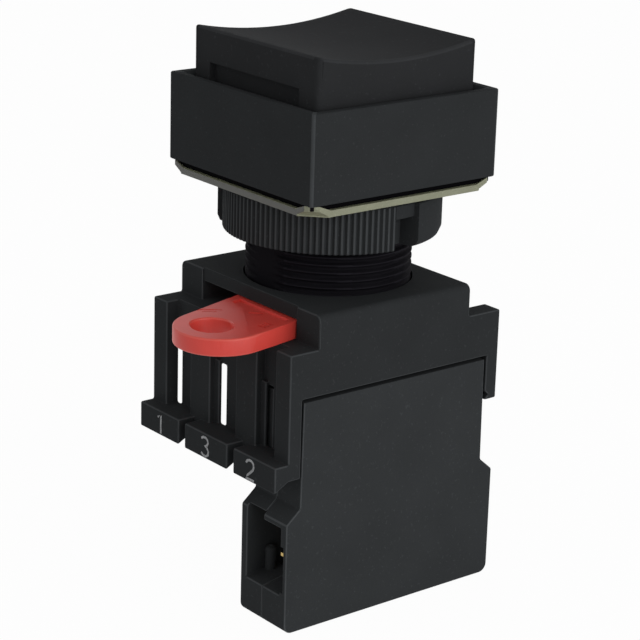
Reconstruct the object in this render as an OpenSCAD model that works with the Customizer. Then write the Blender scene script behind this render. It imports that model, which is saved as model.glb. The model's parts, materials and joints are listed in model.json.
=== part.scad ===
// Square-headed 22 mm pushbutton switch: a front operator with a bezel, cap and
// threaded barrel, a mounting collar with a red locking lever, and one contact block.
// Z runs along the barrel towards the button, and Z = 0 is the front of the panel.
// The lever and the numbered latches face -Y, and the contact block is on the +X side.

/* [Bezel] */
// Width of the square bezel
bezel_w = 30; // [29:0.25:34]
// Height of the bezel
bezel_h = 11.5; // [10.5:0.25:14]
// Wall of the bezel round the cap
bezel_wall = 1.7; // [1.3:0.1:2]
// Thickness of the bezel's floor
bezel_floor = 2.2; // [1.6:0.1:2.8]
// Radius of the bezel's upright corners
bezel_corner_r = 0.5; // [0.3:0.1:1]
// Width of the chamfer inside the bezel's rim
rim_chamfer = 0.5; // [0.2:0.1:0.8]

/* [Cap] */
// Gap between the cap and the bezel
cap_gap = 0.5; // [0.3:0.1:0.7]
// Height of the cap's corners above the bezel
cap_rise = 6.3; // [5:0.1:8]
// Depth of the finger dish in the cap
dish_depth = 1.4; // [0.6:0.1:2]
// Radius of the cap's upright corners
cap_corner_r = 0.7; // [0.4:0.1:1.2]
// Wall of the hollow cap
cap_wall = 1.3; // [1:0.1:1.6]
// Length of the pry slot in the cap's side
cap_slot_w = 18.6; // [10:0.2:20]
// Height of the pry slot
cap_slot_h = 2.6; // [1.6:0.1:3]
// Depth of the pry slot
cap_slot_d = 0.9; // [0.3:0.1:1]
// Travel of the button
button_travel = 3.5; // [2.5:0.1:4]

/* [Gasket] */
// Thickness of the gasket sheet
gasket_t = 0.86; // [0.6:0.02:1.2]
// Slack between the unclamped gasket and the bezel
gasket_slack = 0.9; // [0.5:0.1:1.2]
// Leg of each corner that turns up to the bezel
gasket_corner = 3.2; // [2:0.1:4]

/* [Barrel] */
// How far the bezel stands out past the barrel's thread
bezel_overhang = 4.1; // [4:0.05:4.2]
// Pitch of the barrel's thread
thread_pitch = 1; // [0.8:0.05:1.25]
// Depth of the barrel's thread
thread_depth = 0.42; // [0.3:0.02:0.5]
// Depth of the barrel's keying flats
flat_depth = 0.55; // [0.4:0.05:0.8]
// Thickness of the flange inside the bezel
flange_t = 1.3; // [1:0.1:1.4]
// How far the flange inside the bezel stands out past the thread
flange_reach = 1.3; // [0.9:0.1:1.7]
// Wall of the barrel from the thread's crests to the plunger
guide_wall = 2.8; // [2.75:0.05:2.9]
// Wall of the barrel round the return spring
spring_wall = 1.2; // [1.1:0.05:1.3]
// Depth of the return spring's ledge below the panel's front
spring_ledge = 2; // [1:0.2:4]
// Step from the thread in to the barrel's lower neck
neck_step = 1.55; // [1.5:0.05:1.6]
// Height of the two bayonet lugs above the neck
lug_reach = 0.95; // [0.85:0.05:1.05]
// Width of each bayonet lug
lug_w = 4.2; // [3:0.1:5]
// Height of each bayonet lug
lug_h = 1.5; // [1.2:0.1:1.7]

/* [Lock ring] */
// Wall of the ring from the thread to its ribs
ring_wall = 3.05; // [2.7:0.05:3.3]
// Height of the ring
ring_h = 5.9; // [5:0.1:6.4]
// Gap between the ring and the gasket
ring_gap = 0.25; // [0.1:0.05:0.4]
// Height of one rib above the ring
rib_h = 0.28; // [0.15:0.01:0.4]
// Number of ribs if they ran all the way round
rib_count = 112; // [90:1:130]
// How far the two smooth grips stand out past the ribs
grip_reach = 0.65; // [0.4:0.05:1]
// Angle at which the first grip starts
grip_start = 13; // [12:1:16]
// Angle that each grip spans
grip_span = 37; // [30:1:45]
// Width of each spanner notch
notch_w = 2.6; // [2:0.1:3]
// Height of each spanner notch
notch_h = 4.1; // [2:0.1:4.5]
// Depth of each spanner notch
notch_d = 1.5; // [1:0.1:2]

/* [Collar] */
// How much narrower than the bezel the collar is
collar_inset = 0.3; // [0.1:0.05:0.4]
// Distance from the panel's front to the top of the collar
collar_depth = 12.3; // [12:0.1:14]
// Wall of the collar's head in front of the barrel
head_front_wall = 2.05; // [1.7:0.05:2.3]
// Wall of the collar's head behind the barrel
head_back_wall = 1; // [0.8:0.05:1.7]
// Radius of the head's upper corners, seen from the front
head_corner_r = 0.9; // [0.5:0.1:1.2]
// How far the head's front corners stand proud of the slab between them
head_proud = 0.3; // [0.2:0.05:0.5]
// Thickness of the slab above the lever
slab_t = 1.8; // [1.5:0.1:2.2]
// Thickness of the deck under the lever
deck_t = 6.1; // [5.9:0.1:7]
// Width of each corner post, as a share of the positions' pitch
post_share = 0.3; // [0.26:0.01:0.32]
// Thickness of each corner post
post_t = 1.95; // [1.6:0.05:2.4]
// Width of each post between two positions, as a share of their pitch
divider_share = 0.43; // [0.36:0.01:0.46]
// Thickness of each post between two positions
divider_t = 1.4; // [1:0.1:1.8]
// Width of the wing on each side of such a post
wing_w = 0.85; // [0.6:0.05:1]
// Thickness of those wings
wing_t = 0.5; // [0.4:0.05:0.7]
// Length of the back posts below the deck
back_post_l = 6.2; // [5:0.1:8]
// Width of each latch arm, as a share of the positions' pitch
arm_share = 0.22; // [0.16:0.01:0.26]
// Thickness of each latch arm
arm_t = 1.4; // [1:0.1:1.5]
// Distance from the deck to the top of the numbered pads
pad_drop = 8.2; // [7:0.1:10]
// Height of a numbered pad's front
pad_h = 3.45; // [3:0.05:4]
// Rise of a pad's underside to its back part
pad_rise = 1.2; // [0.6:0.1:1.6]
// How far a pad stands out past the posts
pad_reach = 2.05; // [1.6:0.05:3]
// How far the deck's back stops short of the posts' inside
deck_short = 1.4; // [1.2:0.1:2]
// Gap between two numbered pads
pad_gap = 1.4; // [1:0.1:2]

/* [Lever] */
// Width of the lever where it leaves the collar
lever_w = 12.5; // [11.8:0.1:12.6]
// Radius of the lever's round end
lever_end_r = 5.95; // [5.5:0.05:6]
// Distance from the axis to the centre of the lever's round end
lever_reach = 22.2; // [21:0.1:24]
// Thickness of the lever
lever_t = 2.3; // [2:0.1:2.5]
// Radius of the hole in the lever
lever_hole_r = 2.6; // [2:0.05:2.8]
// How far the hole lies past the middle of the round end
lever_hole_out = 0.7; // [0:0.05:1]
// How far the hole lies to the side of the lever's middle
lever_hole_side = 0.95; // [0:0.05:1.2]
// Angle of the locked lever from the middle of its swing
lever_angle = 15; // [12:1:15]
// Gap above and below the lever
lever_play = 0.12; // [0.1:0.01:0.2]

/* [Contact block] */
// How much narrower than the positions' pitch the contact block is
block_clear = 0.54; // [0.5:0.02:0.8]
// Length of the contact block at its top
block_l = 30.5; // [30.4:0.1:32]
// Height of the contact block
block_h = 31.2; // [31:0.1:34]
// How far each wire end stands out past the top part
foot_out = 2.1; // [1.6:0.1:2.6]
// Distance from the block's top to its sloping shoulders
shoulder_drop = 14.4; // [13.6:0.1:14.8]
// Rounding of the block's lower ends
block_end_r = 1.2; // [0.6:0.1:2]
// Wall of the block's case
case_wall = 1.2; // [1:0.05:1.3]
// Gap between the two halves of the case
seam_gap = 0.05; // [0.02:0.01:0.08]
// Distance from the block's bottom to the sill of the wire entry
sill_h = 5.1; // [4.6:0.1:6]
// Height of the wire entry
entry_h = 9.2; // [8:0.1:9.4]
// How far the left half's entry reaches up into the sloping shoulder
entry_notch = 0.3; // [0.2:0.05:0.6]
// Slope of the wire entry's sill
sill_slope = 0.2; // [0.1:0.02:0.3]
// Distance from the block's bottom to the floor under the carrier's spring
well_floor = 9; // [8.8:0.1:9.4]
// Half the length of the well round the carrier
well_half = 3.4; // [3.3:0.1:3.6]
// Wall between that well and each terminal
well_wall = 1.7; // [1.5:0.1:1.8]

/* [Contacts and terminals] */
// Gap between the open contacts
contact_gap = 2.3; // [1.8:0.1:2.5]
// How much longer than the clamping washer each terminal's tapped plate is
plate_spare = 0.6; // [0.5:0.05:0.7]
// Gap between the clamping washer and the case
washer_gap = 0.43; // [0.3:0.01:0.6]
// Height of the screw's head
screw_head_h = 2; // [1.6:0.1:2.2]
// Radius of the screw's shank, as a share of its head's radius
shank_share = 0.55; // [0.5:0.01:0.6]
// Thickness of the clamping washer
washer_t = 0.9; // [0.7:0.05:1.1]
// Space for a wire above the clamping washer
clamp_gap = 3.2; // [2.6:0.1:3.4]
// Thickness of the brass strip
strip_t = 0.8; // [0.6:0.05:1]

/* [Clearances] */
// Clearance round parts that slide or turn
running_gap = 0.15; // [0.1:0.01:0.2]
// Clearance between parts that are fixed together
fixed_gap = 0.05; // [0.03:0.01:0.08]
// Clearance between the block and the collar
block_gap = 0.2; // [0.1:0.02:0.25]
// Clearance between two parts that push on each other
push_gap = 0.25; // [0.15:0.05:0.3]

/* [Hidden] */
$fn = 48;

black_plastic = [0.16, 0.16, 0.17];
cap_black = [0.2, 0.2, 0.21];
lever_red = [0.8, 0.23, 0.18];
gasket_yellow = [0.75, 0.75, 0.55];
rubber_black = [0.1, 0.1, 0.1];
carrier_white = [0.85, 0.85, 0.82];
steel_grey = [0.7, 0.7, 0.72];
brass_yellow = [0.8, 0.65, 0.3];
silver_white = [0.9, 0.9, 0.9];

cut = 0.5;

// Stack of the front, from the panel up
bezel_z = gasket_t + gasket_slack;
barrel_r = bezel_w / 2 - bezel_overhang;
barrel_flat = barrel_r - flat_depth;
flange_r = barrel_r + flange_reach;
bezel_top = bezel_z + bezel_h;
floor_top = bezel_z + bezel_floor;
flange_top = floor_top + flange_t;
cap_w = bezel_w - 2 * bezel_wall - 2 * cap_gap;
cap_top = bezel_top + cap_rise;
skirt_z = flange_top + button_travel + 2 * running_gap;
dish_r = (pow(cap_w / 2, 2) + pow(dish_depth, 2)) / (2 * dish_depth);
roof_t = 2.1;
cap_pocket_top = cap_top - dish_depth - roof_t;
plate_t = 1.6;
plate_top = cap_pocket_top - fixed_gap;
plate_z = plate_top - plate_t;
plate_w = cap_w - 2 * cap_wall - 2 * fixed_gap;
cap_slot_top = bezel_top + 1.9;

// Stack behind the panel, from the panel down
guide_r = barrel_r - guide_wall;
spring_bore_r = barrel_r - spring_wall;
neck_r = barrel_r - neck_step;
lug_r = neck_r + lug_reach;
ring_r = barrel_r + ring_wall;
grip_r = ring_r + grip_reach;
ring_top = -ring_gap;
ring_z = ring_top - ring_h;
collar_top = -collar_depth;
slab_z = collar_top - slab_t;
pocket_h = lever_t + 2 * lever_play;
deck_top = slab_z - pocket_h;
deck_z = deck_top - deck_t;
lever_z = deck_top + lever_play;
barrel_shoulder = slab_z + lever_play;
lug_top = lever_z - 2 * lever_play;
lug_z = lug_top - lug_h;
neck_z = lug_z - lever_play;
block_top = deck_z - block_gap;
block_z = block_top - block_h;

// Thread grooves from just under the bezel to the collar
thread_top = floor_top - bezel_floor;
thread_turns = floor((thread_top - barrel_shoulder) / thread_pitch);

// Plunger and what rides on it
plunger_r = guide_r - 1.3 * running_gap;
stem_wall = 1.6;
clip_t = 0.5;
clip_opening = 3.2;
clip_r = neck_r - running_gap;
clip_top = neck_z - 0.1;
clip_z = clip_top - clip_t;
stem_z = clip_z - 0.1;
bar_w = 4;
bar_l = 2 * (plunger_r - 0.2);
bar_z = deck_z + 0.35;
spring_wire_r = 0.45;
spring_mean_r = (plunger_r + spring_bore_r) / 2;
spring_turns = 6.5;
seal_r = 0.5;
seal_z = -13.2;

// Lever and the pocket that it swings in
lever_ring_in = neck_r + running_gap + fixed_gap;
lever_ring_out = barrel_r;
head_front = barrel_r + head_front_wall;
head_back = barrel_r + head_back_wall;
lever_slot_half = 20;
pocket_r = lever_ring_out + 0.2;
jamb_half = (lever_w / 2 + head_front * sin(lever_angle)) / cos(lever_angle) + 0.12;
lug_bore_r = lug_r + 0.2;
neck_bore_r = neck_r + 0.4;
key_w = lug_w + 0.5;
key_r = lug_r + 0.15;

// Collar posts and pads
position_pitch = bezel_w / 3;
collar_w = bezel_w - collar_inset;
post_w = post_share * position_pitch;
divider_w = divider_share * position_pitch;
arm_w = arm_share * position_pitch;
post_in = block_l / 2 + running_gap;
post_out = post_in + post_t;
deck_back = post_in - deck_short;
pad_front = post_out + pad_reach;
pad_top = deck_z - pad_drop;
pad_z = pad_top - pad_h;
pad_back_z = pad_z + pad_rise;
pad_mid_w = position_pitch - pad_gap / 2;
pad_side_in = pad_mid_w / 2 + pad_gap;

// Contact block
block_w = position_pitch - block_clear;
block_inset = 0.04;
block_far = collar_w / 2 - block_inset;
block_x = block_far - block_w;
seam_x = position_pitch + 0.03;
cavity_x = block_x + case_wall;
cavity_far = block_far - case_wall;
washer_w = cavity_far - cavity_x - 2 * washer_gap;
shoulder_z = block_top - shoulder_drop;
foot_z = shoulder_z - foot_out * 0.85;
foot_y = block_l / 2 + foot_out;
sill_z = block_z + sill_h;
terminal_in_gap = 0.35;
terminal_out_gap = 0.2;
terminal_l = washer_w + plate_spare;
entry_top = sill_z + entry_h;
entry_y = well_half + well_wall + terminal_in_gap + terminal_l + terminal_out_gap;
entry_slope = sill_slope * (foot_y - entry_y);
roof_z = block_top - case_wall;
chamber_half = 8;
well_z = block_z + well_floor;
arm_groove_w = arm_w + 0.7;
arm_groove_d = arm_t + 0.15;
arm_groove_z = pad_back_z - 0.4;
head_notch_w = bar_w + 2 * push_gap;

// Contact carrier, its bridge and the fixed contacts
head_x = block_x + running_gap + fixed_gap;
head_far = position_pitch - 0.55;
head_top = bar_z - push_gap;
head_root = 0.5;
carrier_top = roof_z - 0.15 - 1.4;
head_notch_z = carrier_top - head_root - button_travel - push_gap;
carrier_x = cavity_x + running_gap;
carrier_far = cavity_far - running_gap;
carrier_half = well_half - 2 * running_gap;
carrier_h = 8.6;
window_sill = 1.5;
window_lintel = 1.4;
carrier_z = carrier_top - carrier_h;
cheek = 0.2 * (carrier_far - carrier_x);
window_x = carrier_x + cheek;
window_far = carrier_far - cheek;
window_z = carrier_z + window_sill;
window_top = carrier_top - window_lintel;
bridge_t = 0.5;
bridge_w = 0.75 * (window_far - window_x);
bridge_half = 6.9;
bridge_z = window_z + fixed_gap;
tip_r = 0.36 * bridge_w;
tip_h = 0.6;
tip_y = 5.7;
moving_tip_z = bridge_z - tip_h;
fixed_tip_top = moving_tip_z - contact_gap;
strip_top = fixed_tip_top - tip_h;
spring_r = 0.48 * bridge_w;
small_wire_r = 0.22;
carrier_spring_r = 0.325 * (carrier_far - carrier_x);

// Terminals
terminal_x = cavity_x + fixed_gap;
terminal_far = cavity_far - fixed_gap;
terminal_in = 4.5;
terminal_out = entry_y - terminal_out_gap;
terminal_drop = 3;
plate_y_in = terminal_out - terminal_l;
tapped_top = strip_top - terminal_drop;
tapped_t = 1.2;
tapped_z = tapped_top - tapped_t;
screw_y = (plate_y_in + terminal_out - strip_t) / 2;
screw_head_r = washer_w / 2 - 0.2;
screw_r = shank_share * screw_head_r;
driver_gap = 0.3;
screw_room = 2.2;
washer_top = tapped_z - clamp_gap;
washer_z = washer_top - washer_t;
screw_head_z = washer_z - screw_head_h - fixed_gap;
driver_r = screw_head_r + driver_gap;

module rounded_square(w, d, r) {
    square([w - 2 * r, d], center = true);
    square([w, d - 2 * r], center = true);
    for (sx = [-1, 1], sy = [-1, 1])
        translate([sx * (w / 2 - r), sy * (d / 2 - r)]) circle(r);
}

// A closed helical wire, swept through rings of points round the coil's centre line
module coil(r, wire_r, z0, z1, turns, steps, sides) {
    count = ceil(turns * steps);
    run = z1 - z0 - 2 * wire_r;
    function ring_point(i, j) =
        let (a = 360 * turns * i / count, b = 360 * j / sides, q = r + wire_r * cos(b))
        [q * cos(a), q * sin(a), z0 + wire_r + run * i / count + wire_r * sin(b)];
    points = [for (i = [0 : count], j = [0 : sides - 1]) ring_point(i, j)];
    walls = [for (i = [0 : count - 1], j = [0 : sides - 1])
        let (a = i * sides, k = (j + 1) % sides)
        [a + j, a + sides + j, a + sides + k, a + k]];
    first = [for (j = [0 : sides - 1]) j];
    last = [for (j = [sides - 1 : -1 : 0]) count * sides + j];
    polyhedron(points, concat([first], walls, [last]), convexity = 12);
}

module bezel() {
    color(black_plastic)
    difference() {
        translate([0, 0, bezel_z]) linear_extrude(bezel_h)
            rounded_square(bezel_w, bezel_w, bezel_corner_r);
        inner = bezel_w - 2 * bezel_wall;
        translate([0, 0, floor_top]) linear_extrude(bezel_h)
            rounded_square(inner, inner, bezel_corner_r);
        // Chamfer inside the rim, one wedge along each side
        for (a = [0 : 90 : 270])
            rotate([0, 0, a]) translate([inner / 2, inner / 2, bezel_top]) rotate([90, 0, 0])
                linear_extrude(inner)
                    polygon([[-cut, -rim_chamfer - cut], [0, -rim_chamfer],
                        [rim_chamfer, 0], [rim_chamfer, cut], [-cut, cut]]);
        cylinder(r = barrel_r + fixed_gap, h = floor_top + cut);
    }
}

module panel_gasket() {
    half = bezel_w / 2;
    color(gasket_yellow) {
        difference() {
            linear_extrude(gasket_t) difference() {
                square(bezel_w, center = true);
                for (a = [0 : 90 : 270]) rotate(a)
                    polygon([[half - gasket_corner, half + cut], [half + cut, half + cut],
                        [half + cut, half - gasket_corner]]);
            }
            translate([0, 0, -cut]) cylinder(r = barrel_r + running_gap, h = gasket_t + 2 * cut);
        }
        // Each corner is bent up about the line across it until it meets the bezel
        for (a = [0 : 90 : 270]) rotate([0, 0, a]) gasket_flap(half);
    }
}

module gasket_flap(half) {
    tip = gasket_corner * 0.42;
    up = bezel_z - gasket_t;
    a = [half - gasket_corner, half];
    b = [half, half - gasket_corner];
    c = [half, half - tip];
    d = [half - tip, half];
    low = [a, b, c, d];
    lift = [0, 0, up, up];
    points = concat([for (i = [0 : 3]) [low[i][0], low[i][1], lift[i]]],
        [for (i = [0 : 3]) [low[i][0], low[i][1], lift[i] + gasket_t]]);
    polyhedron(points, [[0, 1, 2, 3], [7, 6, 5, 4], [0, 4, 5, 1], [1, 5, 6, 2],
        [2, 6, 7, 3], [3, 7, 4, 0]]);
}

module threaded_barrel() {
    root = barrel_r - thread_depth;
    groove = thread_pitch * 0.42;
    thread = [for (i = [0 : thread_turns - 1])
        let (z = thread_top - fixed_gap - thread_pitch * (i + 0.5))
        each [[barrel_r, z + groove], [root, z + 0.06], [root, z - 0.06], [barrel_r, z - groove]]];
    outline = concat(
        [[guide_r, neck_z], [guide_r, -spring_ledge], [spring_bore_r, -spring_ledge],
            [spring_bore_r, flange_top], [flange_r, flange_top], [flange_r, floor_top],
            [barrel_r, floor_top]],
        thread,
        [[barrel_r, barrel_shoulder], [neck_r, barrel_shoulder], [neck_r, neck_z]]);
    color(black_plastic)
    difference() {
        union() {
            rotate_extrude($fn = 96) polygon(outline);
            // Two bayonet lugs that the lever turns over
            difference() {
                intersection() {
                    translate([0, 0, lug_z]) cylinder(r = lug_r, h = lug_h);
                    translate([0, 0, lug_z + lug_h / 2]) cube([2 * barrel_r, lug_w, lug_h], center = true);
                }
                translate([0, 0, lug_z - cut]) cylinder(r = (guide_r + neck_r) / 2, h = lug_h + 2 * cut);
            }
        }
        for (s = [-1, 1])
            translate([-barrel_r, s > 0 ? barrel_flat : -barrel_flat - barrel_r, barrel_shoulder - cut])
                cube([2 * barrel_r, barrel_r, bezel_z - barrel_shoulder + cut]);
        // Groove for the seal
        translate([0, 0, seal_z]) rotate_extrude()
            translate([guide_r - cut, -seal_r - fixed_gap])
                square([cut + 2 * seal_r - 0.1, 2 * (seal_r + fixed_gap)]);
    }
}

module lock_ring() {
    base_r = ring_r - rib_h;
    step = 360 / rib_count;
    // Ribs all round, with the angles that a smooth grip covers left plain
    ribs = [for (i = [0 : rib_count - 1], t = [[0, base_r], [0.2, ring_r], [0.55, ring_r], [0.75, base_r]])
        let (a = (i + t[0]) * step) t[1] * [cos(a), sin(a)]];
    color(black_plastic)
    difference() {
        union() {
            translate([0, 0, ring_z]) linear_extrude(ring_h) polygon(ribs);
            for (turn = [0, 180]) rotate([0, 0, turn + grip_start]) ring_grip();
        }
        translate([0, 0, ring_z - cut]) cylinder(r = barrel_r + running_gap, h = ring_h + 2 * cut, $fn = 96);
        for (turn = [0, 180])
            rotate([0, 0, turn + grip_start - asin(notch_w / 2 / ring_r) - 0.5])
                translate([ring_r - notch_d, -notch_w / 2, ring_z - cut])
                    cube([2 * notch_d, notch_w, notch_h + cut]);
    }
}

module ring_grip() {
    corner = 1.2;
    rotate_extrude(angle = grip_span, $fn = 96)
        polygon([[ring_r - 1.2, ring_z], [grip_r - corner, ring_z], [grip_r - 0.35 * corner, ring_z + 0.35 * corner],
            [grip_r, ring_z + corner], [grip_r, ring_top], [ring_r - 1.2, ring_top]]);
}

module button_cap() {
    color(cap_black)
    difference() {
        translate([0, 0, skirt_z]) linear_extrude(cap_top - skirt_z)
            rounded_square(cap_w, cap_w, cap_corner_r);
        // Finger dish along X
        translate([0, 0, cap_top - dish_depth + dish_r]) rotate([0, 90, 0])
            cylinder(r = dish_r, h = cap_w + 2 * cut, center = true, $fn = 192);
        pocket = cap_w - 2 * cap_wall;
        translate([0, 0, skirt_z - cut]) linear_extrude(cap_pocket_top - skirt_z + cut)
            rounded_square(pocket, pocket, cap_corner_r / 2);
        translate([-cap_slot_w / 2, -cap_w / 2 - cut, cap_slot_top - cap_slot_h])
            cube([cap_slot_w, cut + cap_slot_d, cap_slot_h]);
    }
}

module plunger() {
    color(carrier_white)
    difference() {
        union() {
            translate([0, 0, plate_z]) linear_extrude(plate_t)
                rounded_square(plate_w, plate_w, cap_corner_r / 2);
            translate([0, 0, stem_z]) cylinder(r = plunger_r, h = plate_z - stem_z + cut, $fn = 96);
            translate([-bar_l / 2, -bar_w / 2, bar_z]) cube([bar_l, bar_w, stem_z - bar_z + cut]);
        }
        // Hollow stem, open at the top, with a floor over the cross bar
        translate([0, 0, stem_z + stem_wall]) cylinder(r = plunger_r - stem_wall, h = plate_top - stem_z);
        // Groove for the clip
        translate([0, 0, clip_z - fixed_gap]) difference() {
            cylinder(r = plunger_r + cut, h = clip_t + 2 * fixed_gap);
            translate([0, 0, -cut]) cylinder(r = plunger_r - 0.7, h = clip_t + 2 * cut);
        }
    }
}

module plunger_clip() {
    color(steel_grey)
    translate([0, 0, clip_z]) linear_extrude(clip_t) difference() {
        circle(clip_r);
        circle(plunger_r - 0.7 + fixed_gap);
        translate([-clip_opening / 2, 0]) square([clip_opening, clip_r + cut]);
    }
}

module plunger_seal() {
    color(rubber_black)
    translate([0, 0, seal_z]) rotate_extrude($fn = 48)
        translate([plunger_r + fixed_gap + seal_r, 0]) circle(seal_r, $fn = 24);
}

module return_spring() {
    color(steel_grey)
    coil(spring_mean_r, spring_wire_r, -spring_ledge + fixed_gap, plate_z - fixed_gap, spring_turns, 20, 6);
}

module mounting_collar() {
    half = collar_w / 2;
    color(black_plastic)
    difference() {
        union() {
            // Head round the barrel and the lever
            translate([0, head_back, 0]) rotate([90, 0, 0]) linear_extrude(head_front + head_back) head_outline(half);
            // Deck over the three positions
            translate([-half, -post_in, deck_z]) cube([collar_w, post_in + deck_back, deck_t]);
            for (s = [-1, 1]) {
                corner_post(s, -1, pad_back_z);
                corner_post(s, 1, deck_z - back_post_l);
                divider_post(s, -1, pad_back_z);
                divider_post(s, 1, deck_z - back_post_l);
            }
            for (i = [-1 : 1]) latch_arm(i);
            latch_pad(-pad_mid_w / 2, pad_mid_w / 2);
            latch_pad(pad_side_in, half);
            latch_pad(-half, -pad_side_in);
        }
        // Front of the slab, a little behind the head's corners
        translate([-jamb_half, -head_front - cut, deck_top])
            cube([2 * jamb_half, cut + head_proud, collar_top - deck_top + cut]);
        // Opening for the barrel
        translate([0, 0, slab_z - cut]) cylinder(r = barrel_r + running_gap, h = slab_t + 2 * cut);
        // Pocket for the lever, open to the front
        translate([0, 0, deck_top]) {
            cylinder(r = pocket_r, h = pocket_h);
            translate([-jamb_half, -head_front - cut, 0]) cube([2 * jamb_half, head_front + cut, pocket_h]);
        }
        translate([0, 0, lug_z - 2 * lever_play]) cylinder(r = lug_bore_r, h = deck_top - lug_z + 2 * lever_play + cut);
        translate([0, 0, deck_z - cut]) cylinder(r = neck_bore_r, h = deck_t + cut);
    }
}

// Outline of the collar's head seen from the front, in X and Z
module head_outline(half) {
    flat_half = half - head_corner_r;
    translate([-half, deck_top - cut]) square([2 * half, collar_top - head_corner_r - deck_top + cut]);
    translate([-flat_half, deck_top]) square([2 * flat_half, collar_top - deck_top]);
    for (s = [-1, 1])
        translate([s * flat_half, collar_top - head_corner_r]) circle(head_corner_r);
}

// Post at a corner, inwards from the collar's side
module corner_post(side, end, bottom) {
    x = side > 0 ? collar_w / 2 - post_w : -collar_w / 2;
    root = end < 0 ? post_in : deck_back;
    y = end < 0 ? -post_out : root;
    difference() {
        translate([x, y, bottom]) cube([post_w, post_out - (end < 0 ? post_in : deck_back), deck_top - bottom]);
        // The back posts start clear of the block's end
        if (end > 0)
            translate([x - cut, deck_back - cut, bottom - cut])
                cube([post_w + 2 * cut, post_in - deck_back + cut, deck_z - bottom + cut]);
        if (end > 0)
            translate([x - cut, post_in, bottom]) rotate([45, 0, 0])
                cube([post_w + 2 * cut, 0.9, 0.9]);
    }
}

// Post between two positions, in front with a thin wing on each side of its back
module divider_post(side, end, bottom) {
    x = side * position_pitch / 2 - divider_w / 2;
    root = end < 0 ? post_in : deck_back;
    y = end < 0 ? -post_in - divider_t : root;
    difference() {
        translate([x, y, bottom]) cube([divider_w, post_in + divider_t - root, deck_top - 0.6 - bottom]);
        if (end > 0)
            translate([x - cut, deck_back - cut, bottom - cut])
                cube([divider_w + 2 * cut, post_in - deck_back + cut, deck_z - bottom + cut]);
    }
    if (end < 0)
        translate([x - wing_w, -post_in - wing_t, bottom])
            cube([divider_w + 2 * wing_w, wing_t, deck_z + wing_t - bottom]);
}

// Sprung arm that holds a block and carries its numbered pad
module latch_arm(i) {
    x = i * position_pitch - arm_w / 2;
    translate([x, -post_in, pad_back_z]) cube([arm_w, arm_t, deck_z - pad_back_z + cut]);
}

// Finger pad with a slanted underside, on the front of its posts and arm
module latch_pad(x0, x1) {
    slope = (pad_front - post_out) * 1.05;
    translate([x0, 0, 0]) rotate([90, 0, 90]) linear_extrude(x1 - x0)
        polygon([[-pad_front, pad_z], [-pad_front, pad_top], [-post_in, pad_top],
            [-post_in, pad_back_z], [-pad_front + slope, pad_back_z]]);
}

module lock_lever() {
    color(lever_red)
    translate([0, 0, lever_z]) rotate([0, 0, lever_angle]) linear_extrude(lever_t) difference() {
        union() {
            circle(lever_ring_out, $fn = 96);
            lever_tongue();
        }
        circle(lever_ring_in, $fn = 96);
        // Keyways for the barrel's lugs, in line with them once the lever is swung open
        rotate(lever_angle) square([2 * key_r, key_w], center = true);
        // Gap at the back, so that the arms spring into the collar
        reach = 2 * lever_ring_out;
        polygon([[0, 0], reach * [sin(lever_slot_half), cos(lever_slot_half)],
            reach * [-sin(lever_slot_half), cos(lever_slot_half)]]);
        translate([-lever_hole_side, -lever_reach - lever_hole_out]) circle(lever_hole_r);
    }
}

// Tongue whose straight sides run in from the collar until they touch its round end
module lever_tongue() {
    half = lever_w / 2;
    run = lever_reach - head_front;
    lean = atan2(run, half) - acos(lever_end_r / norm([half, run]));
    steps = 40;
    round_end = [for (i = [0 : steps])
        let (a = 180 - lean + i * (180 + 2 * lean) / steps)
        [lever_end_r * cos(a), lever_end_r * sin(a) - lever_reach]];
    polygon(concat([[-half, 0], [-half, -head_front]], round_end, [[half, -head_front], [half, 0]]));
}

// Outline of the contact block seen from the side, in Y and Z
module block_outline() {
    top = block_l / 2;
    difference() {
        polygon([[-top, block_top], [top, block_top], [top, shoulder_z], [foot_y, foot_z],
            [foot_y, block_z], [-foot_y, block_z], [-foot_y, foot_z], [-top, shoulder_z]]);
        for (s = [-1, 1])
            translate([s * foot_y, block_z]) difference() {
                square(2 * block_end_r, center = true);
                translate([-s * block_end_r, block_end_r]) circle(block_end_r);
            }
    }
}

// Space inside the case for the carrier, the springs and the two terminals
module block_cavity_outline() {
    translate([-chamber_half, tapped_z]) square([2 * chamber_half, roof_z - tapped_z]);
    translate([-well_half, well_z]) square([2 * well_half, roof_z - well_z]);
}

// Room for one terminal and its wire entry, whose top differs between the case's halves
module terminal_space_outline(top) {
    for (s = [-1, 1]) scale([s, 1]) {
        translate([well_half + well_wall, screw_head_z - screw_room])
            square([entry_y - well_half - well_wall, strip_top + driver_gap - screw_head_z + screw_room]);
        // Wire entry, with a sill that slopes up inwards
        polygon([[entry_y - cut, sill_z + entry_slope], [foot_y + cut, sill_z - sill_slope * cut],
            [foot_y + cut, top], [entry_y - cut, top]]);
    }
}

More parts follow.
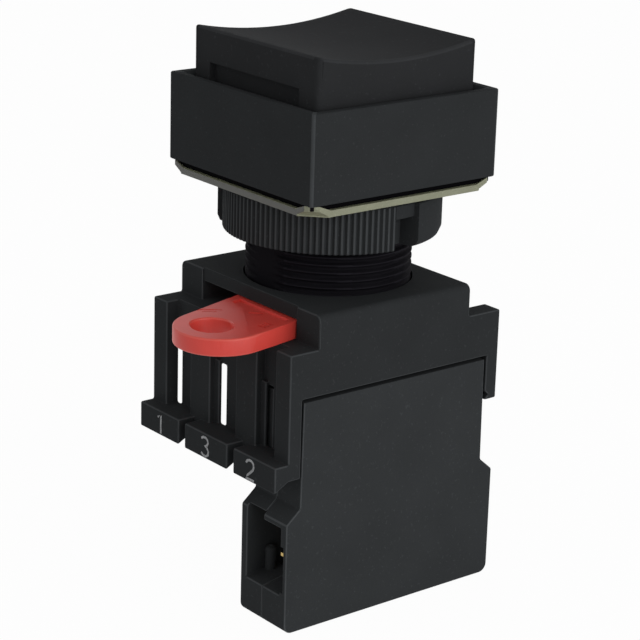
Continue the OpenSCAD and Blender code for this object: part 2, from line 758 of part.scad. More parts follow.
module block_shell(x0, x1) {
    difference() {
        translate([x0, 0, 0]) rotate([90, 0, 90]) linear_extrude(x1 - x0) block_outline();
        inner = max(x0, cavity_x);
        outer = min(x1, cavity_far);
        reach = (x0 < cavity_x) ? [inner, x1 + cut] : [x0 - cut, outer];
        translate([reach[0], 0, 0]) rotate([90, 0, 90]) linear_extrude(reach[1] - reach[0]) {
            difference() {
                block_cavity_outline();
                for (s = [-1, 1])
                    translate([s * (well_half + well_wall / 2) - well_wall / 2, tapped_z - cut])
                        square([well_wall, strip_top - strip_t - 0.3 - tapped_z + cut]);
            }
            // The left half's entry is open up into the sloping shoulder, and the right half has a lintel
            terminal_space_outline(x0 < cavity_x ? foot_z + entry_notch : entry_top);
        }
        for (s = [-1, 1]) {
            // Driver access to the screw from below
            translate([position_pitch, s * screw_y, block_z - cut]) cylinder(r = driver_r, h = screw_head_z - block_z);
            // Groove that the latch arm lies in
            translate([position_pitch - arm_groove_w / 2, s > 0 ? block_l / 2 - arm_groove_d : -block_l / 2 - cut, arm_groove_z])
                cube([arm_groove_w, arm_groove_d + cut, block_top - arm_groove_z + cut]);
        }
        // Well that the plunger's cross bar and the carrier's head move in
        translate([block_x - cut, -head_notch_w / 2, head_notch_z])
            cube([head_far + running_gap - block_x + cut, head_notch_w, block_top - head_notch_z + cut]);
    }
}

module block_case_left() {
    color(black_plastic) block_shell(block_x, seam_x - seam_gap / 2);
}

module block_case_right() {
    color(black_plastic) block_shell(seam_x + seam_gap / 2, block_far);
}

module contact_plunger() {
    color(carrier_white)
    difference() {
        union() {
            translate([head_x, -bar_w / 2, carrier_top - head_root])
                cube([head_far - head_x, bar_w, head_top - carrier_top + head_root]);
            translate([carrier_x, -carrier_half, carrier_z]) cube([carrier_far - carrier_x, 2 * carrier_half, carrier_h]);
        }
        translate([window_x, -carrier_half - cut, window_z]) cube([window_far - window_x, 2 * (carrier_half + cut), window_top - window_z]);
    }
}

module contact_bridge() {
    color(brass_yellow)
    translate([position_pitch - bridge_w / 2, -bridge_half, bridge_z]) cube([bridge_w, 2 * bridge_half, bridge_t]);
}

module moving_contact_tips() {
    color(silver_white)
    for (s = [-1, 1]) translate([position_pitch, s * tip_y, moving_tip_z]) cylinder(r = tip_r, h = tip_h);
}

module fixed_contact_tips() {
    color(silver_white)
    for (s = [-1, 1]) translate([position_pitch, s * tip_y, strip_top]) cylinder(r = tip_r, h = tip_h);
}

module contact_spring() {
    color(steel_grey) translate([position_pitch, 0, 0])
        coil(spring_r, small_wire_r, bridge_z + bridge_t + fixed_gap, window_top - fixed_gap, 5, 14, 6);
}

module carrier_spring() {
    color(steel_grey) translate([position_pitch, 0, 0])
        coil(carrier_spring_r, small_wire_r, well_z + fixed_gap, carrier_z - fixed_gap, 6, 14, 6);
}

// Bent brass strip: contact leg, upright and tapped plate under it
module terminal(side) {
    color(brass_yellow)
    difference() {
        translate([terminal_x, 0, 0]) rotate([90, 0, 90]) linear_extrude(terminal_far - terminal_x) scale([side, 1])
            polygon([[terminal_in, strip_top], [terminal_out, strip_top], [terminal_out, tapped_z],
                [plate_y_in, tapped_z], [plate_y_in, tapped_top], [terminal_out - strip_t, tapped_top],
                [terminal_out - strip_t, strip_top - strip_t], [terminal_in, strip_top - strip_t]]);
        translate([position_pitch, side * screw_y, tapped_z - cut]) cylinder(r = screw_r + fixed_gap, h = tapped_t + 2 * cut);
    }
}

module clamp_washer(side) {
    color(steel_grey)
    translate([position_pitch, side * screw_y, washer_z]) difference() {
        translate([0, 0, washer_t / 2]) cube([washer_w, washer_w, washer_t], center = true);
        translate([0, 0, -cut]) cylinder(r = screw_r + fixed_gap, h = washer_t + 2 * cut);
    }
}

module terminal_screw(side) {
    top = tapped_top - 0.1;
    color(steel_grey)
    translate([position_pitch, side * screw_y, 0]) difference() {
        union() {
            translate([0, 0, screw_head_z]) cylinder(r = screw_head_r, h = screw_head_h);
            translate([0, 0, screw_head_z]) cylinder(r = screw_r, h = top - screw_head_z);
        }
        // Crossed driver slots in the head
        for (a = [0, 90]) rotate([0, 0, a])
            translate([0, 0, screw_head_z]) cube([2 * screw_head_r * 0.8, 0.8, 1.8], center = true);
    }
}

bezel();
panel_gasket();
threaded_barrel();
lock_ring();
button_cap();
plunger();
plunger_clip();
plunger_seal();
return_spring();
mounting_collar();
lock_lever();
block_case_left();
block_case_right();
contact_plunger();
contact_bridge();
moving_contact_tips();
fixed_contact_tips();
contact_spring();
carrier_spring();
terminal(-1);  // terminal_front
terminal(1);  // terminal_back
clamp_washer(-1);  // clamp_washer_front
clamp_washer(1);  // clamp_washer_back
terminal_screw(-1);  // terminal_screw_front
terminal_screw(1);  // terminal_screw_back
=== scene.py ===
"""Panel pushbutton with a dished square cap, dressed for a studio picture.

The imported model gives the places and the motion. Each operator below makes one piece, or one
group of like pieces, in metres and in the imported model's frame. Z runs along the barrel towards
the button, the locking lever and the numbered latches face -Y, and the contact block is at +X.
"""

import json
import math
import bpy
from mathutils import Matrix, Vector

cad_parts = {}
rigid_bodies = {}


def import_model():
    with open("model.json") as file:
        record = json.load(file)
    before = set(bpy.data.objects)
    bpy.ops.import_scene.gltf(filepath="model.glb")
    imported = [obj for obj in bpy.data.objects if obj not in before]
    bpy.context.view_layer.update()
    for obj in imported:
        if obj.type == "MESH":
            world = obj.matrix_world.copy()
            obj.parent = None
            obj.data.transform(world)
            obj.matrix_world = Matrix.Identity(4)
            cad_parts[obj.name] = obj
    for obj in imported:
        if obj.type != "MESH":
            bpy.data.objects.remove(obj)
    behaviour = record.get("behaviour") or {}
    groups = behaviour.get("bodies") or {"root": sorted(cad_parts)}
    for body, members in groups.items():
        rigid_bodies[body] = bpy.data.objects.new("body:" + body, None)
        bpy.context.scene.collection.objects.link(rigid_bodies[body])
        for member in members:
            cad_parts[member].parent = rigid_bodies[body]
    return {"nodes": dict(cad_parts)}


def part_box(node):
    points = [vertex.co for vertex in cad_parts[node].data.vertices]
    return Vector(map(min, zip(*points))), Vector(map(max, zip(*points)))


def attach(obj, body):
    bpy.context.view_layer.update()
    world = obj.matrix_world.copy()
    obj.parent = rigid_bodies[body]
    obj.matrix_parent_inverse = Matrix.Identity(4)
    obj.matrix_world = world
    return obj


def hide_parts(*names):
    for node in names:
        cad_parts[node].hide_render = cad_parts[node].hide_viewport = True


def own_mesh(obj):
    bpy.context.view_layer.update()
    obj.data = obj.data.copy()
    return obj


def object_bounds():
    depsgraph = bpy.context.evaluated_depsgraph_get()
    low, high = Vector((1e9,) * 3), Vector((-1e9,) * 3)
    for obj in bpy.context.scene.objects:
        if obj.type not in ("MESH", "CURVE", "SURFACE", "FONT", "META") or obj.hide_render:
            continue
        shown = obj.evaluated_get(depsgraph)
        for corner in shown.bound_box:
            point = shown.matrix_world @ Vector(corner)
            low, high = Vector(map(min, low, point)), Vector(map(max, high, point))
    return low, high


bl_info = {
    "name": "Panel Pushbutton Switch",
    "version": (1, 0, 0),
    "blender": (4, 5, 0),
    "location": "View3D > Sidebar > Switch",
    "description": "Pieces of a panel pushbutton with one contact block",
    "category": "Add Mesh",
}

import bmesh
import bpy
from bpy.props import FloatProperty, FloatVectorProperty, IntProperty, PointerProperty
from mathutils import Matrix, Vector

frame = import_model()
cad_low, cad_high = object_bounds()

MM = 0.001
TURN = 2 * math.pi
# Edges that bend less than this are shaded smooth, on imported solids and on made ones
SMOOTH_PACKED = math.radians(38)
SMOOTH_MADE = math.radians(42)


def colour_property(name, description, default):
    """A colour that a user may change."""
    return FloatVectorProperty(
        name=name, description=description, subtype="COLOR", size=3, min=0, max=1, default=default
    )


def length_property(name, description, default_mm, low_mm, high_mm):
    """A length that a user may change, held in metres."""
    return FloatProperty(
        name=name, description=description, subtype="DISTANCE", unit="LENGTH", precision=5,
        default=default_mm * MM, min=low_mm * MM, max=high_mm * MM,
    )


def power_property(name, description, default):
    """The power of a lamp, in watts."""
    return FloatProperty(name=name, description=description, default=default, min=0, unit="POWER")


class SwitchShape(bpy.types.PropertyGroup):
    """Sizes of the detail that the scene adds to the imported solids."""

    edge_round: length_property("Edge round", "Radius of the moulded edges", 0.2, 0.02, 0.5)
    thread_pitch: length_property("Thread pitch", "Pitch of the barrel's thread", 1.0, 0.8, 1.25)
    thread_depth: length_property("Thread depth", "Depth of the barrel's thread", 0.42, 0.2, 0.5)
    rib_count: IntProperty(
        name="Rib count", description="Ribs round the lock ring", default=112, min=90, max=130
    )
    rib_height: length_property("Rib height", "Height of one rib", 0.26, 0.1, 0.4)
    number_height: length_property("Number height", "Height of the pads' numbers", 2.55, 1, 2.8)
    number_stroke: length_property("Number stroke", "Width of a number's stroke", 0.32, 0.1, 0.5)
    grain: length_property("Grain", "Size of the spark-eroded grain", 0.16, 0.05, 0.5)


class SwitchColours(bpy.types.PropertyGroup):
    """Colours of the switch's finishes."""

    housing: colour_property("Housing", "Black of the mouldings", (0.0285, 0.0306, 0.0322))
    case: colour_property("Case", "Black of the contact block's case", (0.0365, 0.0392, 0.0412))
    cap: colour_property("Cap", "Black of the cap", (0.0262, 0.0272, 0.0288))
    barrel: colour_property("Barrel", "Black of the threaded barrel", (0.0075, 0.007, 0.0088))
    lever: colour_property("Lever", "Red of the locking lever", (0.66, 0.058, 0.044))
    gasket: colour_property("Gasket", "Tint of the gasket sheet", (0.3, 0.31, 0.205))
    carrier: colour_property("Carrier", "White of the sliding parts", (0.62, 0.61, 0.56))
    numbers: colour_property("Numbers", "Grey of the printed numbers", (0.36, 0.37, 0.38))
    brass: colour_property("Brass", "Brass of the terminals", (0.58, 0.42, 0.16))
    steel: colour_property("Steel", "Plated steel", (0.5, 0.5, 0.49))
    silver: colour_property("Silver", "Silver of the contact tips", (0.78, 0.77, 0.74))


class SwitchStage(bpy.types.PropertyGroup):
    """Light of the studio."""

    key: power_property("Key", "Power of the key light", 1.5)
    fill: power_property("Fill", "Power of the fill light", 0.2)
    top: power_property("Top", "Power of the top light", 0.03)
    surround: FloatProperty(
        name="Surround", description="Strength of the even light all round", default=0.45, min=0
    )
    floor: colour_property("Floor", "Colour of the floor", (0.86, 0.86, 0.86))


class Signal:
    """A shader socket in Python arithmetic, where each operation adds its Math node."""

    def __init__(self, finish, socket):
        self.finish, self.socket = finish, socket

    def math(self, operation, *terms):
        return self.finish.node("ShaderNodeMath", {"operation": operation}, dict(enumerate(terms)))

    def __add__(self, other):
        return self.math("ADD", self, other)

    def __radd__(self, other):
        return self.math("ADD", other, self)

    def __sub__(self, other):
        return self.math("SUBTRACT", self, other)

    def __rsub__(self, other):
        return self.math("SUBTRACT", other, self)

    def __mul__(self, other):
        return self.math("MULTIPLY", self, other)

    def __rmul__(self, other):
        return self.math("MULTIPLY", other, self)

    def larger(self, other):
        return self.math("MAXIMUM", self, other)


class Finish:
    """One procedural material, or the world, while its nodes are put together."""

    def __init__(self, name, world=None):
        self.material = world or bpy.data.materials.new(name)
        self.material.use_nodes = True
        self.tree = self.material.node_tree
        self.tree.nodes.clear()

    def node(self, kind, settings=None, inputs=None, output=0):
        """Adds a node with its settings first, then the values or links of its sockets."""
        added = self.tree.nodes.new(kind)
        for key, value in (settings or {}).items():
            if key == "stops":
                ramp = added.color_ramp
                for stop, (place, tone) in zip([ramp.elements[0], ramp.elements[1]], value):
                    stop.position, stop.color = place, (tone, tone, tone, 1)
            else:
                setattr(added, key, value)
        for key, value in (inputs or {}).items():
            socket = added.inputs[key]
            if isinstance(value, Signal):
                self.tree.links.new(value.socket, socket)
            else:
                socket.default_value = value
        return Signal(self, added.outputs[output]) if len(added.outputs) else None

    def place(self):
        """Where a point is in the object's own metres."""
        return self.node("ShaderNodeTexCoord", output="Object")

    def noise(self, size, detail=2.0, stretch=None):
        """Even noise whose patches are about size metres across."""
        where = self.place()
        if stretch:
            where = self.node(
                "ShaderNodeVectorMath", {"operation": "MULTIPLY"}, {0: where, 1: stretch}
            )
        return self.node(
            "ShaderNodeTexNoise", None, {"Vector": where, "Scale": 1 / size, "Detail": detail}
        )

    def marked(self, layer):
        """How strongly this layer of the mesh marks a face."""
        return self.node("ShaderNodeAttribute", {"attribute_name": layer}, output="Fac")

    def mask(self, value, low, high):
        """Rises from 0 at low to 1 at high."""
        return self.node("ShaderNodeValToRGB", {"stops": [(low, 0), (high, 1)]}, {"Fac": value})

    def mix(self, share, first, second):
        """A colour between first and second."""
        return self.node(
            "ShaderNodeMix", {"data_type": "RGBA"},
            {0: share, 6: colour(first), 7: colour(second)}, output=2,
        )

    def bump(self, height, strength, depth):
        """The normal of a surface with this height map, depth metres deep."""
        return self.node(
            "ShaderNodeBump", None, {"Strength": strength, "Distance": depth, "Height": height}
        )

    def surface(self, **sockets):
        """Ends the material in a Principled shader with these sockets."""
        inputs = {key.replace("_", " ").title(): value for key, value in sockets.items()}
        if "Ior Level" in inputs:
            inputs["Specular IOR Level"] = inputs.pop("Ior Level")
        shader = self.node("ShaderNodeBsdfPrincipled", None, inputs)
        self.node("ShaderNodeOutputMaterial", None, {"Surface": shader})
        return self.material


def colour(tone):
    """A colour with its alpha, or the signal that it already is."""
    return tone if isinstance(tone, Signal) else (*tone[:3], 1)


def shaded(tone, factor):
    """The same hue, lighter or darker."""
    return tuple(min(1, channel * factor) for channel in tone[:3])


def moulded_plastic(name, tone, roughness, grain, relief=0.5, edge_highlight_gain=2.7):
    """Moulded plastic with a spark-eroded grain, faint clouding and painted edge highlights."""
    finish = Finish(name)
    fine = finish.noise(grain, detail=3)
    cloud = finish.noise(7 * MM, detail=4)
    edge = finish.marked("burnish")
    speck = finish.mask(finish.noise(grain * 2.4, detail=1), 0.66, 0.74)
    base = finish.mix(cloud * 0.6 + fine * 0.4, shaded(tone, 0.8), shaded(tone, 1.2))
    base = finish.mix(speck * 0.35, base, shaded(tone, 1.9))
    # Painted highlight: faces marked in the edge layer are lightened by the highlight gain
    base = finish.mix(edge * (0.3 + cloud * 0.5), base, shaded(tone, edge_highlight_gain))
    rough = roughness + (fine - 0.5) * 0.16 - edge * 0.08
    return finish.surface(
        base_color=base, roughness=rough, ior_level=0.02,
        normal=finish.bump(fine, relief, 0.03 * MM),
    )


def red_acetal(name, tone):
    """Satin red plastic, a little cloudy, with painted highlights on its edges."""
    finish = Finish(name)
    fine = finish.noise(0.25 * MM, detail=2)
    cloud = finish.noise(5 * MM, detail=3)
    edge = finish.marked("burnish")
    base = finish.mix(cloud, shaded(tone, 0.9), shaded(tone, 1.12))
    # Painted highlight: marked edge faces are mixed towards a paler red
    base = finish.mix(edge * 0.3, base, (0.75, 0.16, 0.12))
    return finish.surface(
        base_color=base, roughness=0.42 + (fine - 0.5) * 0.1, ior_level=0.4,
        subsurface_weight=0.08, subsurface_scale=0.6 * MM,
        normal=finish.bump(fine, 0.25, 0.02 * MM),
    )


def gasket_sheet(name, tone):
    """Thin yellowish sheet, milky and slightly dusty, with painted shade on its marked faces."""
    finish = Finish(name)
    cloud = finish.noise(4 * MM, detail=4)
    fine = finish.noise(0.3 * MM, detail=2)
    base = finish.mix(cloud, shaded(tone, 0.8), shaded(tone, 1.15))
    base = finish.mix(finish.mask(fine, 0.6, 0.75) * 0.3, base, (0.6, 0.6, 0.5))
    # Painted shade: faces marked as looking to the front are mixed towards dark grey
    base = finish.mix(finish.marked("shade"), base, (0.075, 0.075, 0.064))
    return finish.surface(
        base_color=base, roughness=0.34 + fine * 0.12, ior_level=0.5, transmission_weight=0.25,
        normal=finish.bump(cloud, 0.15, 0.05 * MM),
    )


def white_acetal(name, tone):
    """Natural white plastic of the sliding parts."""
    finish = Finish(name)
    cloud = finish.noise(4 * MM, detail=3)
    fine = finish.noise(0.2 * MM, detail=2)
    return finish.surface(
        base_color=finish.mix(cloud, shaded(tone, 0.92), shaded(tone, 1.06)),
        roughness=0.4 + (fine - 0.5) * 0.12, normal=finish.bump(fine, 0.2, 0.02 * MM),
    )


def seal_rubber(name):
    """Black rubber with a light bloom."""
    finish = Finish(name)
    bloom = finish.noise(1.2 * MM, detail=4)
    return finish.surface(
        base_color=finish.mix(bloom, (0.012, 0.012, 0.012), (0.035, 0.035, 0.036)),
        roughness=0.6 + bloom * 0.2, normal=finish.bump(bloom, 0.2, 0.03 * MM),
    )


def metal(name, tone, roughness, brushing, tarnish=0.85):
    """Metal with drawn lines along it and patches of tarnish."""
    finish = Finish(name)
    lines = finish.noise(0.12 * MM, detail=2, stretch=brushing)
    patch = finish.noise(2.5 * MM, detail=4)
    return finish.surface(
        base_color=finish.mix(patch, shaded(tone, tarnish), tone), metallic=1.0,
        roughness=roughness + (lines - 0.5) * 0.2 + patch * 0.08,
        normal=finish.bump(lines, 0.25, 0.01 * MM),
    )


def printed_ink(name, tone):
    """Thin screen-printed ink that thins out in places."""
    finish = Finish(name)
    wear = finish.mask(finish.noise(0.22 * MM, detail=4), 0.3, 0.62)
    return finish.surface(
        base_color=finish.mix(wear, shaded(tone, 0.45), tone), roughness=0.6 + wear * 0.1
    )


class Palette:
    """Every finish of the switch, made once."""

    def __init__(self, shape, colours):
        grain = shape.grain
        self.housing = moulded_plastic("black_moulding", colours.housing, 0.78, grain)
        self.barrel = moulded_plastic("black_barrel", colours.barrel, 0.7, grain, relief=0.3)
        # Painted shadow: three tenths of the barrel's black, for the foot in the gap under the
        # bezel
        self.gap = moulded_plastic("shadowed_foot", shaded(colours.barrel, 0.3), 0.8, grain)
        self.case = moulded_plastic("black_case", colours.case, 0.78, grain)
        self.cap = moulded_plastic(
            "black_cap", colours.cap, 0.76, grain * 1.3, relief=0.35, edge_highlight_gain=1.7
        )
        self.lever = red_acetal("red_acetal", colours.lever)
        self.gasket = gasket_sheet("yellow_sheet", colours.gasket)
        self.carrier = white_acetal("white_acetal", colours.carrier)
        self.rubber = seal_rubber("seal_rubber")
        self.numbers = printed_ink("grey_print", colours.numbers)
        self.brass = metal("stamped_brass", colours.brass, 0.3, (1, 0.06, 1))
        self.steel = metal("plated_steel", colours.steel, 0.34, (1, 1, 0.08))
        self.wire = metal("spring_wire", colours.steel, 0.26, (0.2, 0.2, 1))
        self.silver = metal("contact_silver", colours.silver, 0.22, (1, 1, 1))


made_palette = {}


def palette(context):
    """The switch's finishes, made at the first call."""
    if not made_palette:
        made_palette["all"] = Palette(context.scene.switch_shape, context.scene.switch_colours)
    return made_palette["all"]


def add_piece(name, mesh, body, material, nodes=()):
    """Puts a finished mesh in the scene, on its body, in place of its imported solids."""
    mesh.materials.clear()
    mesh.materials.append(material)
    piece = bpy.data.objects.new(name, mesh)
    bpy.context.scene.collection.objects.link(piece)
    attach(piece, body)
    if nodes:
        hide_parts(*nodes)
    return piece


def add_rounded(name, mesh, body, material, node):
    """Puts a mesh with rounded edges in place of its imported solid, and keeps its flats flat."""
    piece = add_piece(name, mesh, body, material, [node])
    facing = piece.modifiers.new("flat_faces", "WEIGHTED_NORMAL")
    facing.keep_sharp = True
    facing.weight = 80


def finish_mesh(shape, name, smooth_below):
    """Turns a bmesh into a mesh that is smooth except at its sharp edges."""
    bmesh.ops.recalc_face_normals(shape, faces=shape.faces)
    for face in shape.faces:
        face.smooth = True
    for edge in shape.edges:
        if len(edge.link_faces) == 2:
            edge.smooth = edge.calc_face_angle(0) < smooth_below
    mesh = bpy.data.meshes.new(name)
    shape.to_mesh(mesh)
    shape.free()
    return mesh


def clean_solid(node):
    """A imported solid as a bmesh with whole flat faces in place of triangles."""
    shape = bmesh.new()
    shape.from_mesh(frame["nodes"][node].data)
    bmesh.ops.remove_doubles(shape, verts=shape.verts, dist=0.002 * MM)
    bmesh.ops.dissolve_limit(
        shape, angle_limit=math.radians(0.5), verts=shape.verts, edges=shape.edges
    )
    return shape


def mark_edge_highlights(shape, faces):
    """Marks those of the faces that bend outwards for a painted highlight."""
    burnish = shape.faces.layers.float["burnish"]
    bmesh.ops.recalc_face_normals(shape, faces=shape.faces)
    least = math.radians(6)
    for face in faces:
        bent = [
            edge for edge in face.edges
            if len(edge.link_faces) == 2 and edge.calc_face_angle(0) > least
        ]
        outwards = sum(1 if edge.is_convex else -1 for edge in bent)
        face[burnish] = 1.0 if outwards > 0 else 0.0


def round_edges(shape, width, segments=3, sharper_than=32, skip=None):
    """Rounds the sharp edges, and marks the new faces that bend outwards for painted highlights."""
    limit = math.radians(sharper_than)
    shape.faces.layers.float.new("burnish")
    sharp = [
        edge for edge in shape.edges
        if len(edge.link_faces) == 2 and edge.calc_face_angle(0) > limit
        and not (skip and skip(edge))
    ]
    rounded = bmesh.ops.bevel(
        shape, geom=sharp, offset=width, segments=segments, profile=0.5, affect="EDGES",
        clamp_overlap=False, miter_outer="ARC", miter_inner="ARC", spread=width * 0.5,
    )
    mark_edge_highlights(shape, rounded["faces"])
    return shape


def softened(name, node, width, **options):
    """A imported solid's mesh with its sharp edges rounded."""
    return finish_mesh(round_edges(clean_solid(node), width, **options), name, SMOOTH_PACKED)


def join_rings(shape, first, second):
    """The new faces between two rings that have the same number of points."""
    faces = []
    for i in range(len(first)):
        k = (i + 1) % len(first)
        faces.append(shape.faces.new((first[i], second[i], second[k], first[k])))
    return faces


def tapered_block(outline, high, low, draft=0.0):
    """A closed block between two heights, whose lower outline is drawn in by the draft."""
    shape = bmesh.new()
    middle = sum((Vector(point) for point in outline), Vector((0, 0))) / len(outline)
    rings = []
    for height, inset in ((high, 0), (low, draft)):
        ring = []
        for point in outline:
            out = Vector(point) - middle
            near = Vector(point) - out.normalized() * inset
            ring.append(shape.verts.new((near.x, near.y, height)))
        rings.append(ring)
    top, bottom = rings
    join_rings(shape, top, bottom)
    shape.faces.new(top)
    shape.faces.new(reversed(bottom))
    return finish_mesh(shape, "tool", 0)


def carved(mesh, tools):
    """The mesh after each closed tool is cut from it."""
    scene = bpy.context.scene.collection.objects
    solid = bpy.data.objects.new(mesh.name, mesh)
    scene.link(solid)
    helpers = []
    for tool in tools:
        helper = bpy.data.objects.new("tool", tool)
        scene.link(helper)
        cut = solid.modifiers.new("cut", "BOOLEAN")
        cut.operation, cut.solver, cut.object = "DIFFERENCE", "EXACT", helper
        helpers.append(helper)
    graph = bpy.context.evaluated_depsgraph_get()
    result = bpy.data.meshes.new_from_object(solid.evaluated_get(graph))
    for spent in (solid, *helpers):
        bpy.data.objects.remove(spent)
    shape = bmesh.new()
    shape.from_mesh(result)
    return finish_mesh(shape, mesh.name, SMOOTH_PACKED)


def turned(name, profiles, angles, crest=0):
    """Closed (radius, height) profiles turned round Z at these angles, with painted crest
    highlights.
    """
    shape = bmesh.new()
    burnish = shape.faces.layers.float.new("burnish")
    rings = []
    for angle, profile in zip(angles, profiles):
        c, s = math.cos(angle), math.sin(angle)
        rings.append([shape.verts.new((r * c, r * s, z)) for r, z in profile])
    for i, ring in enumerate(rings):
        for face in join_rings(shape, ring, rings[(i + 1) % len(rings)]):
            reach = min(math.hypot(vert.co.x, vert.co.y) for vert in face.verts)
            # Faces at the crest radius get a painted highlight
            face[burnish] = float(abs(reach - crest) < 0.03 * MM)
    return finish_mesh(shape, name, SMOOTH_MADE)


def rounded_square(half, radius, height, steps=6):
    """Points of a square with rounded corners at this height."""
    radius = max(radius, 0.01 * MM)
    points = []
    for quarter in range(4):
        for i in range(steps + 1):
            angle = math.pi / 2 * (quarter + i / steps)
            corner = math.pi / 2 * quarter + math.pi / 4
            reach = (half - radius) * math.sqrt(2)
            points.append(Vector((
                reach * math.cos(corner) + radius * math.cos(angle),
                reach * math.sin(corner) + radius * math.sin(angle), height,
            )))
    return points


def lofted(name, loops):
    """A closed solid through a ring of loops, with painted highlights on its small outward bends.
    """
    highlight_area = 3 * MM * MM
    shape = bmesh.new()
    rings = [[shape.verts.new(point) for point in loop] for loop in loops]
    for i, ring in enumerate(rings):
        join_rings(shape, rings[(i + 1) % len(rings)], ring)
    shape.faces.layers.float.new("burnish")
    mark_edge_highlights(shape, [face for face in shape.faces if face.calc_area() < highlight_area])
    return finish_mesh(shape, name, SMOOTH_MADE)


def swept_wire(name, radius, wire, low, high, turns, centre=(0, 0), steps=40, sides=12):
    """A closed coil with its end turns laid flat."""
    shape = bmesh.new()
    count = int(turns * steps)
    flat = 0.75 / turns
    rings = []
    for i in range(count + 1):
        share = i / count
        eased = min(1, max(0, (share - flat) / (1 - 2 * flat)))
        level = low + wire + (high - low - 2 * wire) * eased
        level += wire * 0.02 * (share - 0.5)
        angle = TURN * turns * share
        out = Vector((math.cos(angle), math.sin(angle), 0))
        middle = Vector((centre[0], centre[1], level)) + out * radius
        rings.append([
            shape.verts.new(
                middle + out * (wire * math.cos(TURN * j / sides))
                + Vector((0, 0, wire * math.sin(TURN * j / sides)))
            )
            for j in range(sides)
        ])
    for first, second in zip(rings, rings[1:]):
        join_rings(shape, first, second)
    shape.faces.new(rings[0])
    shape.faces.new(reversed(rings[-1]))
    return finish_mesh(shape, name, math.radians(50))


class SWITCH_OT_bezel(bpy.types.Operator):
    """Square frame round the button"""

    bl_idname = "switch.bezel"
    bl_label = "Bezel"

    def execute(self, context):
        look, shape = palette(context), context.scene.switch_shape
        low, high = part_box("bezel")
        half, wall, floor = high.x, 1.7 * MM, 2.2 * MM
        chamfer, corner, bore, soft = 0.5 * MM, 0.35 * MM, 10.95 * MM, shape.edge_round
        foot_inset, foot_height, fillet = 0.5 * MM, 0.62 * MM, 0.2 * MM
        inner = half - wall
        loops = []

        def rim(reach, radius, height):
            loops.append(rounded_square(reach, radius, height))

        def arc(reach, height, start, end, radius, corner_radius):
            for i in range(4):
                angle = math.radians(start + (end - start) * i / 3)
                out, rise = radius * math.cos(angle), radius * math.sin(angle)
                rim(reach + out, corner_radius, height + rise)

        arc(half - soft, low.z + soft, -90, 0, soft, corner)
        arc(half - soft, high.z - soft, 0, 90, soft, corner)
        rim(inner + chamfer + soft, corner, high.z)
        rim(inner + chamfer - soft * 0.3, corner, high.z - soft * 0.4)
        rim(inner, corner, high.z - chamfer)
        rim(inner, corner, low.z + floor + fillet)
        rim(inner - fillet, corner, low.z + floor)

        def round_hole(radius, height):
            loops.append([
                Vector((point.x, point.y, 0)).normalized() * radius + Vector((0, 0, height))
                for point in loops[0]
            ])

        round_hole(bore, low.z + floor)
        round_hole(bore, low.z)
        mesh = lofted("square_bezel", loops)
        add_rounded("square_bezel", mesh, "housing", look.housing, "bezel")

        # A dark foot under the bezel whose near-black colour paints the shadow in the gap above the
        # gasket
        loops.clear()
        rim(half - foot_inset, corner, low.z - foot_height)
        rim(half - foot_inset, corner, low.z + soft)
        round_hole(bore + foot_inset, low.z + soft)
        round_hole(bore + foot_inset, low.z - foot_height)
        mesh = lofted("bezel_foot", loops)
        add_piece("bezel_foot", mesh, "housing", look.gap)
        return {"FINISHED"}


class SWITCH_OT_cap(bpy.types.Operator):
    """Square cap with a finger dish and a pry slot"""

    bl_idname = "switch.cap"
    bl_label = "Cap"

    # The pry slot's edges lie in front of this and within this half width
    slot_front, slot_half = -10 * MM, 9.5 * MM

    def in_slot(self, edge):
        """Whether an edge belongs to the pry slot."""
        return all(
            vert.co.y < self.slot_front and abs(vert.co.x) < self.slot_half for vert in edge.verts
        )

    def execute(self, context):
        look, shape = palette(context), context.scene.switch_shape
        mesh = softened("dished_cap", "button_cap", shape.edge_round * 2, skip=self.in_slot)
        add_rounded("dished_cap", mesh, "button", look.cap, "button_cap")
        return {"FINISHED"}


class SWITCH_OT_gasket(bpy.types.Operator):
    """Sheet gasket with its corners turned up"""

    bl_idname = "switch.gasket"
    bl_label = "Gasket"

    # How far the loose sheet is lifted towards the bezel, and what stays free between them
    lift, clearance = 0.2 * MM, 0.02 * MM
    # Faces that look to the front more squarely than this get painted shade
    squarely = 0.8

    def execute(self, context):
        look = palette(context)
        mesh = softened("corner_gasket", "panel_gasket", 0.08 * MM, segments=2, sharper_than=50)
        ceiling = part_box("bezel")[0].z - self.clearance
        for vert in mesh.vertices:
            vert.co.z = min(vert.co.z + self.lift, ceiling)
        # Marks the faces that get painted shade
        shade = mesh.attributes.new("shade", "FLOAT", "FACE")
        for face in mesh.polygons:
            shade.data[face.index].value = float(-face.normal.y > self.squarely)
        add_rounded("corner_gasket", mesh, "housing", look.gasket, "panel_gasket")
        return {"FINISHED"}


